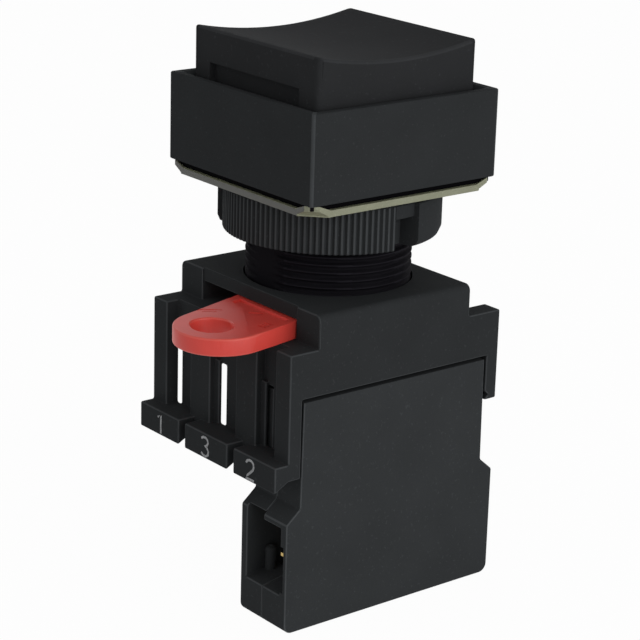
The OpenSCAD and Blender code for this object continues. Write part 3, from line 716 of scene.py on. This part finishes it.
class SWITCH_OT_barrel(bpy.types.Operator):
    """Threaded barrel with keying flats, a flange and two bayonet lugs"""

    bl_idname = "switch.barrel"
    bl_label = "Barrel"

    outer = 10.9 * MM
    flat = 10.35 * MM
    neck = 9.35 * MM
    lug = 10.3 * MM
    lug_half_width = 2.1 * MM
    thread_top, thread_bottom = 1.7 * MM, -13.9 * MM
    shoulder = -13.98 * MM
    run_out = 0.2 * MM
    steps_round, steps_per_turn = 144, 8
    # The thread's section over one pitch: how wide its crest is, and how steep its flanks are
    thread_crest, thread_flank = 1.55, 4.4
    # Radius and height in millimetres of the corners above the thread, from the bore outwards
    head = (
        (8.1, -18.38), (8.1, -2), (9.7, -2), (9.7, 5.1), (9.85, 5.26), (12.0, 5.26),
        (12.2, 5.06), (12.2, 3.96), (10.9, 3.96), (10.9, 1.76),
    )
    # Heights of the lugs' upper and lower faces, and of the barrel's end
    lug_top, lug_bottom, end = -16.76 * MM, -18.26 * MM, -18.38 * MM

    def profile(self, angle, shape):
        """The barrel's closed section at this angle."""
        flat = self.flat / max(abs(math.sin(angle)), 1e-6)
        on_lug = abs(self.lug * math.sin(angle)) <= self.lug_half_width
        lug = self.lug if on_lug else self.neck + 0.001 * MM
        points = [(r * MM, z * MM) for r, z in self.head]
        pitch = shape.thread_pitch
        count = int((self.thread_top - self.thread_bottom) / pitch * self.steps_per_turn)
        for i in range(count + 1):
            height = self.thread_top - pitch * i / self.steps_per_turn
            phase = (height / pitch + angle / TURN) % 1
            crest = min(1, max(0, self.thread_crest - self.thread_flank * abs(phase - 0.5)))
            root = self.outer - shape.thread_depth * (1 - crest)
            points.append((min(root, flat), height))
        points += [
            (min(self.outer - self.run_out, flat), self.shoulder),
            (self.neck, self.shoulder), (self.neck, self.lug_top), (lug, self.lug_top),
            (lug, self.lug_bottom), (self.neck, self.lug_bottom), (self.neck, self.end),
        ]
        return points

    def execute(self, context):
        look, shape = palette(context), context.scene.switch_shape
        edge = math.asin(self.lug_half_width / self.lug)
        angles = {TURN * i / self.steps_round for i in range(self.steps_round)}
        for middle in (0, math.pi):
            for side in (-1, 1):
                angles |= {(middle + side * (edge + off)) % TURN for off in (0, 0.002)}
        angles = sorted(angles)
        # Faces at the thread's crest radius get painted highlights
        mesh = turned("screw_barrel", [self.profile(a, shape) for a in angles], angles, self.outer)
        add_piece(
            "screw_barrel", mesh, "housing", look.barrel, ["threaded_barrel"]
        )
        return {"FINISHED"}


class SWITCH_OT_lock_ring(bpy.types.Operator):
    """Ribbed lock ring with two smooth grips and two spanner notches"""

    bl_idname = "switch.lock_ring"
    bl_label = "Lock ring"

    bore = 11.05 * MM
    outer = 13.95 * MM
    grip = 14.6 * MM
    notch_depth, notch_height = 2.3 * MM, 4.1 * MM
    top, bottom = -0.25 * MM, -6.15 * MM
    # Where a notch starts and ends and the grip beside it ends, in degrees
    notch_start, notch_end, grip_end = -2.0, 11.6, 50.0
    # How far a notch's upper wall lies inside the ribs, and how much of each rib's crest is flat
    notch_inset, rib_flat = 0.1 * MM, 1.5
    # Lower corner of each part of the rim
    corners = {"ribs": 0.16 * MM, "notch": 0.15 * MM, "grip": 1.1 * MM}

    def place_of(self, angle):
        """Whether an angle is on the ribs, in a notch or on a grip."""
        turn = (math.degrees(angle) - self.notch_start) % 180 + self.notch_start
        if self.notch_start <= turn < self.notch_end:
            return "notch"
        return "grip" if self.notch_end <= turn <= self.grip_end else "ribs"

    def profile(self, angle, shape):
        """The ring's closed section at this angle."""
        place = self.place_of(angle)
        wave = 0.5 + 0.5 * math.cos(angle * shape.rib_count)
        radius = self.outer - shape.rib_height * (1 - min(1, wave * self.rib_flat))
        if place == "grip":
            radius = self.grip
        if place == "notch":
            radius = self.outer - self.notch_inset
        below = self.outer - self.notch_depth if place == "notch" else radius
        corner = self.corners[place]
        ceiling = self.bottom + self.notch_height
        step, bevel, lead = 0.05 * MM, 0.15 * MM, 0.3 * MM
        return [
            (self.bore + lead, self.bottom), (below - corner, self.bottom),
            (below - 0.3 * corner, self.bottom + 0.3 * corner), (below, self.bottom + corner),
            (below, ceiling - step), (below, ceiling), (radius, ceiling),
            (radius, ceiling + step), (radius, self.top - bevel),
            (radius - bevel, self.top), (self.bore, self.top), (self.bore, self.bottom + lead),
        ]

    def execute(self, context):
        look, shape = palette(context), context.scene.switch_shape
        fine = shape.rib_count * 6
        angles = {TURN * i / fine for i in range(fine)}
        for edge in (self.notch_start, self.notch_end, self.grip_end):
            for half_turn in (0, 180):
                for off in (-0.01, 0.01):
                    angles.add(math.radians(edge + half_turn + off) % TURN)
        angles = sorted(angles)
        # Faces at the ribs' crest radius get painted highlights
        mesh = turned("ribbed_ring", [self.profile(a, shape) for a in angles], angles, self.outer)
        add_piece("ribbed_ring", mesh, "ring", look.housing, ["lock_ring"])
        return {"FINISHED"}


class SWITCH_OT_collar(bpy.types.Operator):
    """Collar that carries three block positions, with latch arms and numbered pads"""

    bl_idname = "switch.collar"
    bl_label = "Collar"

    # Upright edges beside the front slits, and how far each is moved into its slit
    slit_sides = ((-8.0 * MM, -0.4 * MM), (1.1 * MM, 0.28 * MM))
    # The edges lie in front of this, and this near to their place
    slit_front, slit_near = -13.5 * MM, 0.25 * MM

    def execute(self, context):
        look, shape = palette(context), context.scene.switch_shape
        mesh = softened("block_collar", "mounting_collar", shape.edge_round * 0.8)
        for vert in mesh.vertices:
            for upright, shift in self.slit_sides:
                near = abs(vert.co.x - upright) < self.slit_near
                if near and vert.co.y < self.slit_front:
                    vert.co.x += shift
        add_rounded(
            "block_collar", mesh, "housing", look.housing, "mounting_collar"
        )
        return {"FINISHED"}


class SWITCH_OT_lever(bpy.types.Operator):
    """Red lever that locks the collar on the barrel"""

    bl_idname = "switch.lever"
    bl_label = "Lever"

    # Places are given beside the lever's middle line and along it, in millimetres where not scaled
    turn = math.radians(15)
    hole_side, hole_out = -0.95 * MM, 22.9 * MM
    # The lever is hidden up to the first of these, and the recess starts at the second
    hidden_front, head_front = -12.5 * MM, 13.1 * MM
    recess_depth, recess_draft, recess_sides = 0.32 * MM, 0.2 * MM, (-4.9, 5.2)
    recess_edge = [
        (5.3, 17), (5.2, 20), (4.9, 22.4), (4.4, 22.4), (1.55, 19.1), (-2.06, 15.2), (-4.9, 13.95),
    ]
    # The oval pocket in the recess: its middle, half lengths, cosine and sine of its turn, depth
    pocket_middle, pocket_half, pocket_turn = (-0.16, 14.95), (1.05, 0.45), (0.866, 0.5)
    pocket_depth, pocket_draft = 0.5 * MM, 0.1 * MM
    # The dished edge of the hole: its middle from the hole's, radius, depth
    dish_side, dish_out, dish_radius = 0.65 * MM, 0.45 * MM, 2.9 * MM
    dish_depth, dish_draft = 0.45 * MM, 0.3 * MM
    # Each curved mark's radius and width, and the angles between which it runs
    curved_marks = [(5.9, 0.3, -150, -116), (5.2, 0.22, -142, -122)]
    mark_depth = 0.14 * MM
    bars, bar_left, bar_right, bar_width, bar_depth = (17.3, 18.0, 18.7), 3.2, 5.0, 0.24, 0.2 * MM

    def hidden(self, edge):
        """Whether an edge is inside the collar."""
        return any(vert.co.y > self.hidden_front for vert in edge.verts)

    def on_lever(self, side, out):
        """A point at this distance beside the lever's middle line and along it."""
        c, s = math.cos(self.turn), math.sin(self.turn)
        return Vector((side * c + out * s, side * s - out * c))

    def beside_head(self, side):
        """The point beside the lever's middle line that lies just before the collar's head."""
        out = (side * math.sin(self.turn) + self.head_front) / math.cos(self.turn)
        return self.on_lever(side, out)

    def disc(self, side, out, radius, start=0, end=360, steps=28):
        """Points round a circle on the lever, with angles from its right side outwards."""
        points = []
        for i in range(steps + 1):
            angle = math.radians(start + (end - start) * i / steps)
            across, along = radius * math.cos(angle), radius * math.sin(angle)
            points.append(self.on_lever(side + across, out + along))
        return points if end - start < 360 else points[:-1]

    def band(self, radius, width, start, end):
        """Points round a curved band about the hole."""
        inner = self.disc(self.hole_side, self.hole_out, radius - width / 2, start, end, 12)
        outer = self.disc(self.hole_side, self.hole_out, radius + width / 2, start, end, 12)
        return outer + inner[::-1]

    def pocket(self):
        """Points round the oval pocket, which lies aslant in the recess."""
        points, steps = [], 24
        middle_side, middle_out = self.pocket_middle
        half_along, half_across = self.pocket_half
        c, s = self.pocket_turn
        for i in range(steps):
            angle = TURN * i / steps
            along, across = half_along * math.cos(angle), half_across * math.sin(angle)
            side, out = along * c + across * s, along * -s + across * c
            points.append(self.on_lever((side + middle_side) * MM, (out + middle_out) * MM))
        return points

    def relief(self, top):
        """Cutters for the shallow recess beside the hole, its pocket and the marks."""
        above, floor = top + 0.3 * MM, top - self.recess_depth
        near = [self.beside_head(side * MM) for side in self.recess_sides]
        edge = [self.on_lever(side * MM, out * MM) for side, out in self.recess_edge]
        dish = self.disc(
            self.hole_side + self.dish_side, self.hole_out + self.dish_out, self.dish_radius
        )
        cutters = [
            tapered_block(near + edge, above, floor, self.recess_draft),
            tapered_block(self.pocket(), above, floor - self.pocket_depth, self.pocket_draft),
            tapered_block(dish, above, top - self.dish_depth, self.dish_draft),
        ]
        for radius, width, start, end in self.curved_marks:
            mark = self.band(radius * MM, width * MM, start, end)
            cutters.append(tapered_block(mark, above, top - self.mark_depth))
        for out in self.bars:
            upper, left, right = out + self.bar_width, self.bar_left, self.bar_right
            corners = ((left, out), (right, out), (right, upper), (left, upper))
            bar = [self.on_lever(side * MM, along * MM) for side, along in corners]
            cutters.append(tapered_block(bar, above, floor - self.bar_depth))
        return cutters

    def execute(self, context):
        look, shape = palette(context), context.scene.switch_shape
        mesh = softened("red_lever", "lock_lever", shape.edge_round * 1.2, skip=self.hidden)
        mesh = carved(mesh, self.relief(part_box("lock_lever")[1].z))
        add_rounded("red_lever", mesh, "lever", look.lever, "lock_lever")
        return {"FINISHED"}


class SWITCH_OT_case(bpy.types.Operator):
    """Two halves of the contact block's case"""

    bl_idname = "switch.case"
    bl_label = "Block case"

    # The top lies above the first height, and is drawn in by the drop
    top, top_drop = -23.3 * MM, 0.28 * MM
    # The upper end faces stand between these distances above this height, and are drawn in
    ends_from, ends_to, ends_bottom, ends_drop = 15.0 * MM, 15.4 * MM, -37 * MM, 0.2 * MM
    # Inner and outer face, near and far end, top and bottom of the cut in a wire entry's wall
    wall_cut = (13.4 * MM, 14.25 * MM, 14 * MM, 18 * MM, -42.3 * MM, -48.6 * MM)
    # The post's distance from the middle in X and Y, its radius, bottom and top
    guide = (7.2 * MM, 13.9 * MM, 0.75 * MM, -49.0 * MM, -45.2 * MM)
    # The brass strip's section in X and Z, and its near and far end in Y, in millimetres
    strip_section = [
        (13.5, -39.9), (13.5, -44.7), (13.42, -44.88), (13.2, -45), (11, -45), (11, -44.55),
        (12.9, -44.55), (13.05, -44.4), (13.05, -39.9),
    ]
    strip_ends = (12.1, 15.2)

    def in_seam(self, edge):
        """Whether an edge lies under the collar, where it stays sharp and gets no painted
        highlight.
        """
        return all(vert.co.z > self.top for vert in edge.verts)

    def ease(self, point):
        """Draws the block's top part in a little, so that its seam with the collar shows."""
        if point.z > self.top:
            point.z -= self.top_drop
        if self.ends_from < abs(point.y) < self.ends_to and point.z > self.ends_bottom:
            point.y -= math.copysign(self.ends_drop, point.y)

    def thin_wall(self, way):
        """Cutter that thins the outer wall of a wire entry."""
        inner, outer, near, far, high, low = self.wall_cut
        outline = [(inner, near), (outer, near), (outer, far), (inner, far)]
        return tapered_block([(x, way * y) for x, y in outline], high, low)

    def execute(self, context):
        look, shape = palette(context), context.scene.switch_shape
        for side in ("left", "right"):
            name, node = f"case_half_{side}", f"block_case_{side}"
            mesh = softened(name, node, shape.edge_round * 0.7, skip=self.in_seam)
            for vert in mesh.vertices:
                self.ease(vert.co)
            if side == "right":
                mesh = carved(mesh, [self.thin_wall(way) for way in (-1, 1)])
            add_rounded(name, mesh, "housing", look.case, node)
        for end, way in (("front", -1), ("back", 1)):
            self.wire_guide(f"wire_guide_{end}", way, look.case)
            self.brass_tab(f"brass_tab_{end}", way, look.brass)
        return {"FINISHED"}

    def wire_guide(self, name, way, material):
        """Rounded post that stands on the sill of a wire entry."""
        across, along, radius, bottom, top = self.guide
        steps, dome = 28, radius * 0.6
        profile = [(0.02 * MM, bottom), (radius, bottom), (radius, top - dome)]
        for degrees in (25, 50, 70, 89):
            angle = math.radians(degrees)
            profile.append((radius * math.cos(angle), top - dome * (1 - math.sin(angle))))
        mesh = turned(name, [profile] * steps, [TURN * i / steps for i in range(steps)])
        mesh.transform(Matrix.Translation((across, way * along, 0)))
        add_piece(name, mesh, "housing", material)

    def brass_tab(self, name, way, material):
        """Strip that hangs from the terminal beside the wire and turns in below it."""
        shape = bmesh.new()
        inner, outer = (
            [shape.verts.new((x * MM, way * end * MM, z * MM)) for x, z in self.strip_section]
            for end in self.strip_ends
        )
        join_rings(shape, outer, inner)
        shape.faces.new(inner)
        shape.faces.new(outer[::-1])
        mesh = finish_mesh(round_edges(shape, 0.06 * MM, segments=2), name, SMOOTH_PACKED)
        add_piece(name, mesh, "housing", material)


class SWITCH_OT_numbers(bpy.types.Operator):
    """Printed numbers 1, 3 and 2 on the latch pads"""

    bl_idname = "switch.numbers"
    bl_label = "Pad numbers"

    # The pads' face in Y, and how far the ink stands before it and reaches into it
    face, ink, bite = -19.4 * MM, 0.02 * MM, 0.005 * MM
    # Middle of each number in X and Z, and its strokes on a square, spread sideways
    places = {"one": (-10.25, -32.8), "three": (-0.12, -32.75), "two": (9.65, -32.75)}
    spread = 1.15
    strokes = {
        "one": [[(-0.18, 0.34), (0.06, 0.5), (0.06, -0.5)]],
        "two": [
            [(-0.27, 0.3), (-0.2, 0.43), (-0.05, 0.5), (0.1, 0.49), (0.23, 0.4), (0.27, 0.24),
             (0.22, 0.07), (0.05, -0.12), (-0.15, -0.32), (-0.28, -0.5), (0.3, -0.5)],
        ],
        "three": [
            [(-0.25, 0.38), (-0.1, 0.49), (0.06, 0.5), (0.2, 0.42), (0.25, 0.28), (0.18, 0.12),
             (0.02, 0.04), (0.18, -0.03), (0.28, -0.2), (0.25, -0.38), (0.1, -0.49), (-0.08, -0.5),
             (-0.26, -0.38)],
        ],
    }

    def ribbon(self, shape, points, width):
        """A flat stroke with mitred bends, standing just proud of the pad's face."""
        rows = []
        for i, point in enumerate(points):
            before, after = points[max(i - 1, 0)], points[min(i + 1, len(points) - 1)]
            way = (after - before).normalized()
            side = Vector((-way.y, way.x)) * width / 2
            rows.append((point + side, point - side))
        back, front = (
            [[shape.verts.new((point.x, y, point.y)) for point in row] for row in rows]
            for y in (self.face + self.bite, self.face - self.ink)
        )
        for i in range(len(rows) - 1):
            k = i + 1
            shape.faces.new((front[i][0], front[i][1], front[k][1], front[k][0]))
            shape.faces.new((back[i][1], back[i][0], back[k][0], back[k][1]))
            shape.faces.new((back[i][0], front[i][0], front[k][0], back[k][0]))
            shape.faces.new((front[i][1], back[i][1], back[k][1], front[k][1]))
        for end in (0, len(rows) - 1):
            shape.faces.new((back[end][0], back[end][1], front[end][1], front[end][0]))

    def execute(self, context):
        look, sizes = palette(context), context.scene.switch_shape
        for name, place in self.places.items():
            shape = bmesh.new()
            middle = Vector(place) * MM
            for stroke in self.strokes[name]:
                points = [
                    middle + Vector((x * self.spread, z)) * sizes.number_height for x, z in stroke
                ]
                self.ribbon(shape, points, sizes.number_stroke)
            mesh = finish_mesh(shape, f"number_{name}", math.radians(30))
            add_piece(f"number_{name}", mesh, "housing", look.numbers)
        return {"FINISHED"}


class SWITCH_OT_springs(bpy.types.Operator):
    """Return spring, carrier spring and contact spring"""

    bl_idname = "switch.springs"
    bl_label = "Springs"

    # Piece, node, body and joint, then radius, half the wire, turns, middle in X and Y, and travel
    rows = (
        ("return_coil", "return_spring", "housing", "button_press",
         8.8025, 0.45, 6.5, (0, 0), 3.5),
        ("carrier_coil", "carrier_spring", "housing", "carrier_press",
         2.2, 0.22, 6, (10, 0), 3.5),
        ("contact_coil", "contact_spring", "carrier", "bridge_lift",
         1.5, 0.22, 5, (10, 0), 1.25),
    )

    def execute(self, context):
        look = palette(context)
        for name, node, body, joint, radius, wire, turns, centre, travel in self.rows:
            low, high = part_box(node)
            mesh = swept_wire(
                name, radius * MM, wire * MM, low.z, high.z, turns, [c * MM for c in centre]
            )
            piece = add_piece(name, mesh, body, look.wire, [node])
            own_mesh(piece)
        return {"FINISHED"}


class SWITCH_OT_inside(bpy.types.Operator):
    """Finishes of the plunger, its clip and seal, and the contact parts"""

    bl_idname = "switch.inside"
    bl_label = "Inner parts"

    def execute(self, context):
        look = palette(context)
        finishes = {
            "plunger": look.carrier, "contact_plunger": look.carrier, "plunger_clip": look.steel,
            "plunger_seal": look.rubber, "contact_bridge": look.brass,
            "moving_contact_tips": look.silver, "fixed_contact_tips": look.silver,
        }
        for node, material in finishes.items():
            for slot in frame["nodes"][node].material_slots:
                slot.link = "OBJECT"
                slot.material = material
        return {"FINISHED"}


class SWITCH_OT_terminals(bpy.types.Operator):
    """Brass terminals with their clamping washers and screws"""

    bl_idname = "switch.terminals"
    bl_label = "Terminals"

    def execute(self, context):
        look = palette(context)
        for end in ("front", "back"):
            rows = (
                ("brass_strip", "terminal", "housing", "brass", look.brass, 0.12),
                ("square_washer", "clamp_washer", f"clamp_{end}", "plated_steel", look.steel, 0.12),
                ("cross_screw", "terminal_screw", f"clamp_{end}", "plated_steel", look.steel, 0.15),
            )
            for name, node, body, slot, material, width in rows:
                mesh = softened(f"{name}_{end}", f"{node}_{end}", width * MM)
                add_rounded(f"{name}_{end}", mesh, body, material, f"{node}_{end}")
        return {"FINISHED"}


class SWITCH_OT_stage(bpy.types.Operator):
    """White floor, soft studio light and the camera"""

    bl_idname = "switch.stage"
    bl_label = "Stage"

    # Turn of the camera in degrees, its place in millimetres, and its lens for a square picture
    azimuth, elevation, roll = 49.94, 17.53, 2.06
    across, up, distance = 4.83, -18.11, 284.8
    lens_in_pictures = 2216.8 / 640
    centre_in_picture = (368.6 / 640, 307.9 / 640)
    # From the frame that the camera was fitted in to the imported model's, in millimetres
    frame_scale, frame_lift = 1.0067, 1.7617
    # Each soft box's side in metres, and its azimuth and elevation as seen from the switch
    lamps = (("key", 0.45, 95, 10), ("fill", 0.6, -10, 15), ("top", 0.5, 30, 82))
    lamp_distance, lamp_aim = 0.5, -0.015
    # How much of the floor's colour the camera sees as plain white, without the shadow
    plain_white = 0.97

    def camera(self, scene):
        """The camera at the photograph's viewing angle."""
        a, e, t = (math.radians(v) for v in (self.azimuth, self.elevation, self.roll))
        back = Vector((math.sin(a) * math.cos(e), -math.cos(a) * math.cos(e), math.sin(e)))
        level = Vector((math.cos(a), math.sin(a), 0))
        raised = back.cross(level)
        right = math.cos(t) * level + math.sin(t) * raised
        top = math.cos(t) * raised - math.sin(t) * level
        place = right * self.across + top * self.up + back * self.distance
        place = place * self.frame_scale + Vector((0, 0, self.frame_lift))
        lens = bpy.data.cameras.new("camera")
        lens.sensor_width = 36
        lens.lens = self.lens_in_pictures * lens.sensor_width
        lens.shift_x = 0.5 - self.centre_in_picture[0]
        lens.shift_y = self.centre_in_picture[1] - 0.5
        lens.clip_start, lens.clip_end = 0.01, 20
        viewer = bpy.data.objects.new("camera", lens)
        turned_to = Matrix((right, top, back)).transposed().to_4x4()
        viewer.matrix_world = Matrix.Translation(place * MM) @ turned_to
        scene.collection.objects.link(viewer)
        scene.camera = viewer

    def lamp(self, scene, name, power, size, azimuth, elevation):
        """A square soft box that looks at the switch."""
        light = bpy.data.lights.new(name, "AREA")
        light.energy, light.size = power, size
        a, e = math.radians(azimuth), math.radians(elevation)
        back = Vector((math.sin(a) * math.cos(e), -math.cos(a) * math.cos(e), math.sin(e)))
        lamp = bpy.data.objects.new(name, light)
        lamp.location = back * self.lamp_distance + Vector((0, 0, self.lamp_aim))
        lamp.rotation_mode = "QUATERNION"
        lamp.rotation_quaternion = back.to_track_quat("Z", "Y")
        scene.collection.objects.link(lamp)

    def seen(self, finish):
        """1 for rays that show the background: straight, mirrored or through glass."""
        rays = ("Is Camera Ray", "Is Glossy Ray", "Is Transmission Ray")
        straight, mirrored, through = (
            finish.node("ShaderNodeLightPath", output=ray) for ray in rays
        )
        return straight.larger(mirrored).larger(through)

    def execute(self, context):
        scene, look = context.scene, context.scene.switch_stage
        scene.view_settings.view_transform = "Standard"
        self.camera(scene)
        for name, size, azimuth, elevation in self.lamps:
            self.lamp(scene, name, getattr(look, name), size, azimuth, elevation)

        scene.world = bpy.data.worlds.new("surround")
        sky = Finish("surround", scene.world)
        strength = look.surround + self.seen(sky) * (1 - look.surround)
        glow = sky.node("ShaderNodeBackground", None, {"Color": (1, 1, 1, 1), "Strength": strength})
        sky.node("ShaderNodeOutputWorld", None, {"Surface": glow})

        ground = Finish("white_floor")
        grain = ground.noise(2 * MM, detail=3)
        paper = ground.node("ShaderNodeBsdfDiffuse", None, {
            "Color": ground.mix(grain * 0.2, look.floor, shaded(look.floor, 1.03))
        })
        light = ground.node("ShaderNodeEmission", None, {"Color": (1, 1, 1, 1), "Strength": 1})
        shown = ground.node("ShaderNodeMixShader", None, {
            0: self.seen(ground) * self.plain_white, 1: paper, 2: light
        })
        ground.node("ShaderNodeOutputMaterial", None, {"Surface": shown})
        sheet = bmesh.new()
        bmesh.ops.create_grid(sheet, x_segments=8, y_segments=8, size=3)
        bmesh.ops.translate(sheet, verts=sheet.verts, vec=(0, 0, cad_low.z - 0.05 * MM))
        floor = bpy.data.objects.new("floor", finish_mesh(sheet, "floor", 0.5))
        floor.data.materials.append(ground.material)
        scene.collection.objects.link(floor)
        return {"FINISHED"}


class SWITCH_PT_pieces(bpy.types.Panel):
    """Lists the switch's pieces"""

    bl_label = "Pushbutton switch"
    bl_space_type = "VIEW_3D"
    bl_region_type = "UI"
    bl_category = "Switch"

    def draw(self, context):
        for maker in MAKERS:
            self.layout.operator(maker.bl_idname)
        for group in ("switch_shape", "switch_colours", "switch_stage"):
            settings = getattr(context.scene, group)
            for name in settings.__annotations__:
                self.layout.prop(settings, name)


MAKERS = (
    SWITCH_OT_stage, SWITCH_OT_bezel, SWITCH_OT_cap, SWITCH_OT_gasket, SWITCH_OT_barrel,
    SWITCH_OT_lock_ring, SWITCH_OT_collar, SWITCH_OT_lever, SWITCH_OT_case, SWITCH_OT_numbers,
    SWITCH_OT_springs, SWITCH_OT_inside, SWITCH_OT_terminals,
)
CLASSES = (SwitchShape, SwitchColours, SwitchStage, *MAKERS, SWITCH_PT_pieces)


def register():
    for kind in CLASSES:
        bpy.utils.register_class(kind)
    bpy.types.Scene.switch_shape = PointerProperty(type=SwitchShape)
    bpy.types.Scene.switch_colours = PointerProperty(type=SwitchColours)
    bpy.types.Scene.switch_stage = PointerProperty(type=SwitchStage)


def unregister():
    for name in ("switch_shape", "switch_colours", "switch_stage"):
        delattr(bpy.types.Scene, name)
    for kind in reversed(CLASSES):
        bpy.utils.unregister_class(kind)


def main():
    """Registers the add-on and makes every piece."""
    register()
    for maker in MAKERS:
        section, name = maker.bl_idname.split(".")
        getattr(getattr(bpy.ops, section), name)()


if __name__ == "__main__":
    main()
